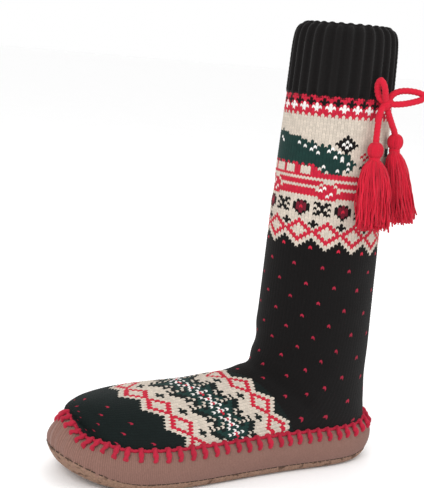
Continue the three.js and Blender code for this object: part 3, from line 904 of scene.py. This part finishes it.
# A stitch is a V. Its wale has four columns of points: the edge, one leg of the
# V, the middle and the other leg.
ROWS_PER_COURSE = 2
V_RISE = [0.0, 0.31, 0.62, 0.31]  # how far each column runs ahead of the wale's edge, in courses
V_HEIGHT = [0.0, 1.0, 0.3, 1.0]  # shares of the crest
# painted shade: darker at the wale's edge and the V's middle, where the knit dips
V_PAINTED_SHADE = [0.7, 1.0, 0.84, 1.0]
CREST = 0.55
END_HEIGHT, END_PAINTED_SHADE = 0.62, 0.88  # the same where one stitch meets the next; the shade there is painted shade
STITCH_SUNK = 0.15
HEM_SHOWN = 4.0  # the knit goes on so far below the seam
SMALLEST_FACE = 0.02

CREASES = [
    # from y, z to y, z, with depth and half width
    (16, 80, 62, 46, 1.5, 4.2),
    (26, 96, 74, 78, 0.9, 5.5),
    (34, 210, 66, 196, 0.7, 7),
    (52, 128, 98, 140, 0.7, 8),
    (-30, 60, 6, 42, 0.6, 6),
]
CREASE_REACH = 0.45  # share of its length on either side of its middle
CREASE_LIP = 0.45  # the lip's height as a share of the depth
LIP_PLACE = 2  # in half widths from the crease


def creases_at(points):
    """How far the knit sinks at each point, with a low lip beside each crease."""
    sunk = 0
    for y0, z0, y1, z1, deep, wide in CREASES:
        length = math.hypot(y1 - y0, z1 - z0)
        y = points[..., 1] - y0
        z = points[..., 2] - z0
        along = (y * (y1 - y0) + z * (z1 - z0)) / length ** 2
        off = (z * (y1 - y0) - y * (z1 - z0)) / length / wide
        fade = np.exp(-((along - 0.5) / CREASE_REACH) ** 4)
        lip = CREASE_LIP * np.exp(-(np.abs(off) - LIP_PLACE) ** 2)
        sunk = sunk + deep * fade * (np.exp(-off ** 2) - lip)
    return sunk


def make_knit(name, first, last, node=None):
    """The knit between two courses, with every stitch modelled."""
    rows = (last - first) * ROWS_PER_COURSE + 1
    columns = len(LAYOUT_WALES)
    phase = np.arange(columns) % COLUMNS_PER_WALE
    base = first + np.arange(rows)[:, None] / ROWS_PER_COURSE
    v, angle = stitch_place(base - np.choose(phase, V_RISE))
    mid_course = (np.arange(rows) % ROWS_PER_COURSE == 1)[:, None]
    lift = np.choose(phase, V_HEIGHT) * CREST * np.where(mid_course, 1.0, END_HEIGHT) - STITCH_SUNK
    points = off_face(v, angle, lift - creases_at(upper_point(v, angle)))
    faces = grid_faces(rows, columns)
    face_row, face_column = np.divmod(np.arange(len(faces)), columns - 1)
    corners = points.reshape(-1, 3)
    size = np.linalg.norm(np.cross(corners[faces[:, 2]] - corners[faces[:, 0]],
                                   corners[faces[:, 3]] - corners[faces[:, 1]]), axis=1)
    keep = ~below_seam(corners, HEM_SHOWN)[faces].all(axis=1) & (size > SMALLEST_FACE)
    course = (first + face_row // ROWS_PER_COURSE)[keep]
    wale = (face_column // COLUMNS_PER_WALE - WALES // 2)[keep]
    # Painted shade in the knit's hollows, multiplied into each stitch's colour.
    shade = np.choose(phase, V_PAINTED_SHADE) * np.where(mid_course, 1.0, END_PAINTED_SHADE)
    painted = (np.repeat(stitch_colours(course, wale), 4, axis=0)
               * shade.ravel()[faces[keep]].reshape(-1, 1))
    used, faces = used_part(corners, faces[keep])
    add_mesh(name, used, [faces], KNIT_MATERIAL, painted, node)


make_knit("knit_leg", -1, BAND_FROM, "knit_upper")
make_knit("knit_foot", BAND_FROM, LAST_COURSE)

# The ribbed cuff goes up to the collar and turns in.
RIB_COUNT = 28
RIB_DEPTH = 1.2
RIB_SQUARE = 0.7  # under 1, ribs and grooves are flatter than a wave
RIM_RIB = 0.6  # the ribs' share of that depth at the rim
RIB_START, RIB_END = 0.3, 0.6  # rows over which the ribs begin and grow shallower
INNER_RIB = 0.5  # the ribs' share of their depth on the inside
CUFF_COURSE = 3  # rings of points for each course
CUFF_COURSE_RISE, CUFF_COURSE_FALL = 0.16, -0.08
CUFF_COURSE_EVEN = 0.6  # the share of it that is the same all round
CUFF_WALL = 3.6
CUFF_COLUMNS = RIB_COUNT * 14
CUFF_ROWS = 84
TURN_ROWS = 10
INNER_ROWS = 40
INNER_END = CUFF_ROW - 1.0  # the row where the cuff's inside ends
INNER_WALL, INNER_GROWS = 1.8, 1.4  # the wall at the cuff's edge, and what it gains in the row above
RIM_RISE, RIM_WAVE = 0.9, 0.7  # how far the rim stands up, and its ribs on top
LINING_ROWS = 150
LINING_FROM, LINING_TO = CUFF_ROW - 0.6, 1.0
LINING_DEEP = 1.9  # below the knit's outer face
LINING_COLUMNS = 96
LINING_HEM = 13  # how far below the seam the lining ends


def rib_fade(v):
    return np.clip((v - CUFF_ROW) / RIB_START, 0, 1) * np.clip((COLLAR_ROW - v) / RIB_END, RIM_RIB, 1)


def make_cuff():
    angle = np.linspace(-math.pi, math.pi, CUFF_COLUMNS, endpoint=False)
    wave = np.cos(angle * RIB_COUNT)
    rib = signed_power(wave, RIB_SQUARE)
    stitch = np.abs(np.sin(angle * RIB_COUNT))
    rings = []
    for k, v in enumerate(np.linspace(CUFF_ROW, COLLAR_ROW, CUFF_ROWS + 1)):
        course = CUFF_COURSE_RISE if k % CUFF_COURSE == 1 else CUFF_COURSE_FALL
        lift = (RIB_DEPTH * rib_fade(v) * rib
                + course * (CUFF_COURSE_EVEN + (1 - CUFF_COURSE_EVEN) * stitch))
        rings.append(off_face(v, angle, lift))
    rim = upper_point(COLLAR_ROW, angle)
    level = unit(upper_normal(COLLAR_ROW, angle) * LEVEL)
    half = CUFF_WALL / 2
    for k in range(1, TURN_ROWS):
        a = math.pi * k / TURN_ROWS
        lift = RIB_DEPTH * RIM_RIB * rib * math.cos(a)
        rise = (RIM_RISE + RIM_WAVE * RIM_RIB * rib) * math.sin(a)
        rings.append(rim + level * (lift - half + half * math.cos(a))[:, None] + UP * rise[:, None])
    for v in np.linspace(COLLAR_ROW, INNER_END, INNER_ROWS + 1):
        wall = INNER_WALL + INNER_GROWS * np.clip(v - CUFF_ROW, 0, 1)
        inside = upper_point(v, angle)
        outward = unit((inside - (0, inside[:, 1].mean(), 0)) * LEVEL)
        rings.append(inside - outward * (wall - INNER_RIB * RIB_DEPTH * rib_fade(v) * rib)[:, None])
    faces = grid_faces(len(rings), CUFF_COLUMNS, True)
    colours = np.tile(YARNS["K"], (len(faces), 1))
    add_mesh("knit_cuff", np.concatenate(rings), [faces], KNIT_MATERIAL, colours)


def make_inside():
    """The plain inside of the knit, which shows down the leg."""
    rows = np.linspace(LINING_FROM, LINING_TO, LINING_ROWS)
    angle = np.linspace(-math.pi, math.pi, LINING_COLUMNS, endpoint=False)
    v, a = np.meshgrid(rows, angle, indexing="ij")
    points = off_face(v, a, np.full(v.shape, -LINING_DEEP)).reshape(-1, 3)
    faces = grid_faces(LINING_ROWS, LINING_COLUMNS, True)[:, ::-1]
    used, faces = used_part(points, faces[~below_seam(points, LINING_HEM)[faces].any(axis=1)])
    add_mesh("knit_inside", used, [faces], INSIDE_MATERIAL)


make_cuff()
make_inside()


# The sole: padded sidewall, outsole and insole round the stitch line.
HALVINGS = 40  # rounds of a search that halves its range each time
SIDE_ROWS = 400
SIDE_CROWD = 1.3  # over 1, the rows lie closer together at the toe
PLAN_SOFTER, OUT_SOFTER = 120, 100  # steps of the line for every time that it is softened


def halve(holds, low, high):
    """The last place where something holds and the first where it doesn't."""
    for _ in range(HALVINGS):
        middle = (low + high) / 2
        yes = holds(middle)
        low = np.where(yes, middle, low)
        high = np.where(yes, high, middle)
    return low, high


def angle_at_seam(v, sign):
    """The angle at which a section comes down to the seam, or half a turn where it doesn't."""
    def above(angle):
        p = upper_point(v, angle * sign)
        return p[..., 2] - seam_height(p[..., 1]) > 0

    low, high = np.zeros_like(v), np.full_like(v, math.pi)
    return np.where(above(high), math.pi, halve(above, low, high)[0])


def row_where_closed():
    """The first row whose whole ring lies above the seam, behind the heel."""
    def crosses(row):
        return angle_at_seam(row, 1) < math.pi

    return float(halve(crosses, np.array(NAMES.index("instep"), dtype=float), NAMES.index("leg_low"))[1])


class Outline:
    """The stitch line in plan, closed, at even steps with outward directions."""

    def __init__(self, steps):
        v = row_where_closed() * np.linspace(0, 1, SIDE_ROWS) ** SIDE_CROWD
        lateral, medial = (upper_point(v, angle_at_seam(v, sign) * sign)[:, :2] for sign in (1, -1))
        loop = np.vstack([lateral, medial[::-1][1:]])
        self.length = reaches(loop)[-1]
        self.at = np.linspace(0, self.length, steps, endpoint=False)
        self.plan = self.soften(points_along(loop, self.at), steps // PLAN_SOFTER)
        ahead = unit(np.roll(self.plan, -2, axis=0) - np.roll(self.plan, 2, axis=0))
        outward = np.stack([ahead[:, 1], -ahead[:, 0]], axis=1)
        self.out = unit(self.soften(outward, steps // OUT_SOFTER))
        if self.out[0, 1] > 0:
            self.out = -self.out

    @staticmethod
    def soften(values, times):
        """Each value drawn a little towards its neighbours, several times over."""
        for _ in range(times):
            values = 0.5 * values + 0.25 * (np.roll(values, 1, axis=0) + np.roll(values, -1, axis=0))
        return values

    def points(self, out, pad, up=None, z=None):
        """Points out from the line, at a share up of the sidewall or a height z."""
        far = out + pad * toe_pad(self.plan[:, 1])
        spot = self.plan + self.out * np.asarray(far)[..., None]
        floor = spring_lift(spot[:, 1])
        if up is None:
            height = z + floor
        else:
            seam = INSOLE_BOTTOM + floor
            height = seam + (seam_height(self.plan[:, 1]) - seam) * up
        return np.column_stack([spot, height])


SIDEWALL_PROFILE = np.array([
    # out from the stitch line, share of the toe's padding, share of the height
    (3.2, 1.0, -0.012), (5.0, 1.0, -0.012), (5.7, 1.0, 0.04), (6.7, 1.0, 0.19), (7.2, 0.88, 0.43),
    (6.5, 0.55, 0.67), (4.6, 0.22, 0.87), (2.2, 0.02, 0.99), (0.9, 0.0, 1.0), (0.5, 0.0, 0.93),
])
SIDEWALL_RINGS = 22
SIDEWALL_WALE = 1.25
# A wale of the jersey has three columns of points.
WALE_RIDGE = [0.0, 1.0, 0.55]
# painted shade: the faces that lie in the grooves between wales are darker
WALE_PAINTED_SHADE = [0.9, 1.0, 0.8]
WALE_RELIEF = 0.32
PLEAT_PITCH = 7.0
PLEAT_WANDER, WANDER_PITCH = 1.3, 17
PINCH_REACH = 2.2  # from a whip stitch along the line
PINCH_DEPTH = 0.7
HEEL_GATHER = 0.35  # how much deeper it is round the heel
# Where an effect begins and where it is at its full, as shares of the sidewall's height.
PINCH_PLACE, FOLD_PLACE, RELIEF_PLACE = (0.45, 0.95), (1.02, 0.9), (1.0, 0.9)
LOW_FOLD, LEAST_RELIEF = 0.35, 0.2


def profile_at(profile, t):
    """Columns of a profile at t from 0 to 1, smoothly between its rows."""
    return between_rows(profile, t * (len(profile) - 1))


# Distance from one whip stitch to the next, by the place along the foot.
STITCH_PITCH = [(-118, 5.0), (-104, 5.6), (-80, 9.0), (0, 9.4), (60, 8.8), (110, 8.0), (124, 7.4)]
STITCH_LENGTH = 7.2  # down the sidewall's face
STITCH_RADIUS = 1.75
STITCH_UNEVEN = 0.12
EDGE_RADIUS = 1.2
EDGE_TWIST = 6
EDGE_PLACE = 0.9  # out from the seam and above it
EDGE_SAG = 0.5  # how far the linking thread is pulled down at a stitch
STITCH_LINE = Outline(1440)
TOE_ROUND, HEEL_ROUND = (-70, -112), (88, 118)


def toe_share(y):
    return smooth_step(share_of_way(y, *TOE_ROUND))


def stitch_spots():
    """Places of the whip stitches along the line, closer round toe and heel."""
    pitch = np.interp(STITCH_LINE.plan[:, 1], *zip(*STITCH_PITCH))
    share = running_sum(STITCH_LINE.length / len(STITCH_LINE.at) / pitch)
    count = int(round(share[-1]))
    want = (np.arange(count) + STITCH_UNEVEN * (noise.random(count) - 0.5)) / count * share[-1]
    return np.interp(want, share, np.linspace(0, STITCH_LINE.length, len(share)))


STITCHES = stitch_spots()


def pinch_at(at):
    """1 under a whip stitch, 0 between two."""
    gap = np.abs(at[:, None] - STITCHES[None, :])
    gap = np.minimum(gap, STITCH_LINE.length - gap).min(axis=1)
    return np.exp(-(gap / PINCH_REACH) ** 2)


def make_sidewall():
    fine = Outline(int(STITCH_LINE.length / SIDEWALL_WALE) * len(WALE_RIDGE))
    column = np.arange(len(fine.at)) % len(WALE_RIDGE)
    # Taupe with painted shade in the grooves between wales.
    painted_groove_shade = np.choose(column, WALE_PAINTED_SHADE)[:, None] * np.array(TAUPE)
    pinch = pinch_at(fine.at)
    toe = toe_share(fine.plan[:, 1])
    gather = PINCH_DEPTH + HEEL_GATHER * smooth_step(share_of_way(fine.plan[:, 1], *HEEL_ROUND))
    pleat = np.cos(2 * math.pi * fine.at / PLEAT_PITCH + PLEAT_WANDER * np.sin(fine.at / WANDER_PITCH))
    rings = []
    for t in np.linspace(0, 1, SIDEWALL_RINGS):
        out, pad, up = profile_at(SIDEWALL_PROFILE, t)
        upper = share_of_way(up, *PINCH_PLACE)
        fold = toe * pleat * (LOW_FOLD + (1 - LOW_FOLD) * upper) * share_of_way(up, *FOLD_PLACE)
        dent = pinch * upper * gather
        knit = (WALE_RELIEF * np.choose(column, WALE_RIDGE)
                * max(share_of_way(up, *RELIEF_PLACE), LEAST_RELIEF))
        rings.append(fine.points(out + fold - dent + knit, pad, up=up))
    faces = grid_faces(len(rings), len(fine.at), True)
    piece = add_mesh("sidewall_jersey", np.concatenate(rings), [faces], TAUPE_MATERIAL,
                     np.tile(painted_groove_shade, (len(rings) - 1, 1)), "sidewall")


OUTSOLE_PROFILE = np.array([
    # out from the stitch line, share of the toe's padding, height
    (-14, 0.2, 0.0), (-6, 0.25, 0.0), (-3, 0.3, 0.0), (1.5, 0.6, 0.9), (3.8, 0.85, 2.7),
    (4.9, 1.0, 4.9), (5.1, 1.0, 6.2), (4.4, 1.0, 6.9), (2.0, 0.9, 6.9), (-6.0, 0.6, 6.7),
])
INSOLE_PROFILE = np.array([
    (-4.0, 0.6, 7.3), (-0.8, 0.6, 7.4), (-0.7, 0.6, 9.6), (-1.2, 0.6, 11.4), (-5.0, 0.6, 12.0),
])
RAND_RISE = 0.72  # how much taller the outsole's edge is at the toe
RAND_OUT = 2.4
SEAM_PLACE = (5.0, 1.0, 6.45)  # out, share of the toe's padding, height
SEAM_STEPS = 7
SEAM_RADIUS = 0.42
SEAM_SHADE = (0.7, 0.6)


def rand_points(outline, out, pad, z, rand):
    """Points round a plate. Where rand is 1, it climbs over the sidewall's foot at the toe."""
    toe = rand * toe_share(outline.plan[:, 1]) ** 2
    return outline.points(out + toe * RAND_OUT * z / INSOLE_BOTTOM, pad, z=z * (1 + RAND_RISE * toe))


def plate(profile, rings, outline, wobble, rand):
    """A plate round the stitch line, its two faces closed by strips across."""
    points = []
    for t in np.linspace(0, 1, rings):
        out, pad, z = profile_at(profile, t)
        out = out + wobble * noise.standard_normal(len(outline.at))
        points.append(rand_points(outline, out, pad, z, rand))
    count = len(outline.at)
    side = grid_faces(rings, count, True)
    half = np.arange(count // 2)
    caps = []
    for start, flip in ((0, True), ((rings - 1) * count, False)):
        strip = start + np.stack([half, half + 1, (count - half - 1) % count,
                                  (count - half) % count], axis=1)
        caps.append(strip[:, ::-1] if flip else strip)
    return np.concatenate(points), [side, *caps]


def make_outsole():
    points, faces = plate(OUTSOLE_PROFILE, rings=22, outline=Outline(720), wobble=0.05, rand=1)
    add_mesh("outsole_suede", points, faces, SUEDE_MATERIAL, node="outsole")


def make_sole_seam():
    """Dark running stitches along the outsole's upper edge."""
    route = rand_points(STITCH_LINE, *SEAM_PLACE, 1)
    batch = Batch(SEAM_THREAD)
    start = 0
    while start < len(route) - SEAM_STEPS:
        batch.tube(route[start:start + SEAM_STEPS], SEAM_RADIUS, sides=6, shade=vary(*SEAM_SHADE))
        start += SEAM_STEPS + 1 + int(3 * noise.random())
    batch.piece("sole_seam", slot="suede_sole")


def make_insole():
    points, faces = plate(INSOLE_PROFILE, rings=10, outline=Outline(360), wobble=0.1, rand=0)
    piece = add_mesh("insole_fleece", points, faces, INSIDE_MATERIAL, node="insole")


def seam_spot(at, out, drop):
    """A point by distance along the stitch line, out from it and down from it."""
    steps = len(STITCH_LINE.at)
    k = (at / STITCH_LINE.length * steps) % steps
    i = int(k)
    j = (i + 1) % steps
    f = k - i
    plan, away = (values[i] * (1 - f) + values[j] * f for values in (STITCH_LINE.plan, STITCH_LINE.out))
    return np.array((*(plan + away * out), float(seam_height(plan[1])) - drop))


def face_spot(at, down, proud):
    """A point on the sidewall's face, so far down it from the knit, and proud of it."""
    y = seam_spot(at, 0, 0)[1]
    tall = float(seam_height(y)) - INSOLE_BOTTOM - float(spring_lift(y))
    rows = profile_at(SIDEWALL_PROFILE, np.linspace(*FACE_PART, 80))
    face = np.stack([rows[:, 0] + rows[:, 1] * float(toe_pad(y)), (1 - rows[:, 2]) * tall], axis=1)
    here, ahead = points_along(face, [down, down + 1])
    ahead = unit(ahead - here)
    return seam_spot(at, here[0] + ahead[1] * proud, here[1] - ahead[0] * proud)


STITCH_OVER = [
    # along, out and down from the seam: out of the knit and over the sidewall's top
    (-0.2, -1.8, 0.2), (-0.1, -0.5, -1.7), (0, 1.0, -1.9),
]
STITCH_DOWN = [
    # share of the slant, share of the length, millimetres more, how proud of the face
    (0.1, 0, 1.6, 1.5), (0.4, 0.45, 0, 1.35), (0.8, 0.8, 0, 1.1), (1, 1, 0, 0.1), (1, 1, 0.5, -1.4),
]
FACE_PART = (0.93, 0.3)  # the part of the sidewall's profile on which a stitch may lie
SLANT, TOE_SLANT = 0.9, 3.4  # along the seam: by chance anywhere, and away from the toe's tip
LENGTH_SHARE, RADIUS_SHARE = (0.92, 0.18), (0.92, 0.14)
TOE_SHORTER, TOE_THINNER = 0.12, 0.08
STITCH_SHADE = (0.86, 0.26)


def make_whip_stitches():
    """Red stitches over the sidewall's top, and the thread that links them."""
    batch = Batch(RED_EDGE)
    for at in STITCHES:
        toe = float(toe_share(seam_spot(at, 0, 0)[1]))
        side = -1 if at < STITCH_LINE.length / 2 else 1
        slant = SLANT * (noise.random() - 0.5) + side * TOE_SLANT * toe
        length = STITCH_LENGTH * vary(*LENGTH_SHARE) * (1 - TOE_SHORTER * toe)
        route = [seam_spot(at + along, out, drop) for along, out, drop in STITCH_OVER]
        for aslant, part, more, proud in STITCH_DOWN:
            route.append(face_spot(at + aslant * slant, part * length + more, proud))
        radius = STITCH_RADIUS * vary(*RADIUS_SHARE) * (1 - TOE_THINNER * toe)
        batch.tube(smooth_path(route, 26), radius, sides=14, plies=2, ply_depth=0.2, turns=1.3,
                   shade=vary(*STITCH_SHADE))
    edge = [seam_spot(at, EDGE_PLACE, -EDGE_PLACE - EDGE_SAG * pinch)
            for at, pinch in zip(STITCH_LINE.at, pinch_at(STITCH_LINE.at))]
    batch.tube(edge + edge[:1], EDGE_RADIUS, sides=10, plies=2, ply_depth=0.16,
               turns=STITCH_LINE.length / EDGE_TWIST)
    batch.piece("whip_stitches")


make_sidewall()
make_outsole()
make_sole_seam()
make_insole()
make_whip_stitches()


# Floor, light and background
FLOOR_REACH = 90.0  # metres
LIGHTS = [
    # name, place in metres, watts, side in metres
    ("key", (1.3, -1.3, 1.5), 22, 1.2),
    ("fill", (1.2, 1.4, 1.0), 7, 1.6),
    ("back", (-1.4, 0.6, 1.5), 7, 1.4),
]
LIT_PLACE = (0, 0.03, 0.15)


def make_stage():
    nodes = Nodes("pale_floor", roughness=0.9)
    nodes.colour(nodes.ramp(nodes.noise(scale=6, detail=3), shades(WHITE, dark=0.975, light=0.985)))
    data = bpy.data.meshes.new("floor")
    corners = [(x * FLOOR_REACH, y * FLOOR_REACH, 0) for x, y in ((-1, -1), (1, -1), (1, 1), (-1, 1))]
    data.from_pydata(corners, [], [(0, 1, 2, 3)])
    data.materials.append(nodes.material)
    add_object("floor", data)


def make_lights():
    for name, place, watts, side in LIGHTS:
        data = bpy.data.lights.new(name, "AREA")
        data.energy = watts
        data.size = side
        light = add_object(name, data)
        light.location = place
        aim = Vector(LIT_PLACE) - Vector(place)
        light.rotation_euler = aim.to_track_quat("-Z", "Y").to_euler()
    world = bpy.data.worlds.new("studio")
    world.use_nodes = True
    background = world.node_tree.nodes["Background"]
    background.inputs["Color"].default_value = (*WHITE, 1)
    background.inputs["Strength"].default_value = 1.0
    bpy.context.scene.world = world


make_stage()
make_lights()
bpy.context.scene.view_settings.view_transform = "Standard"
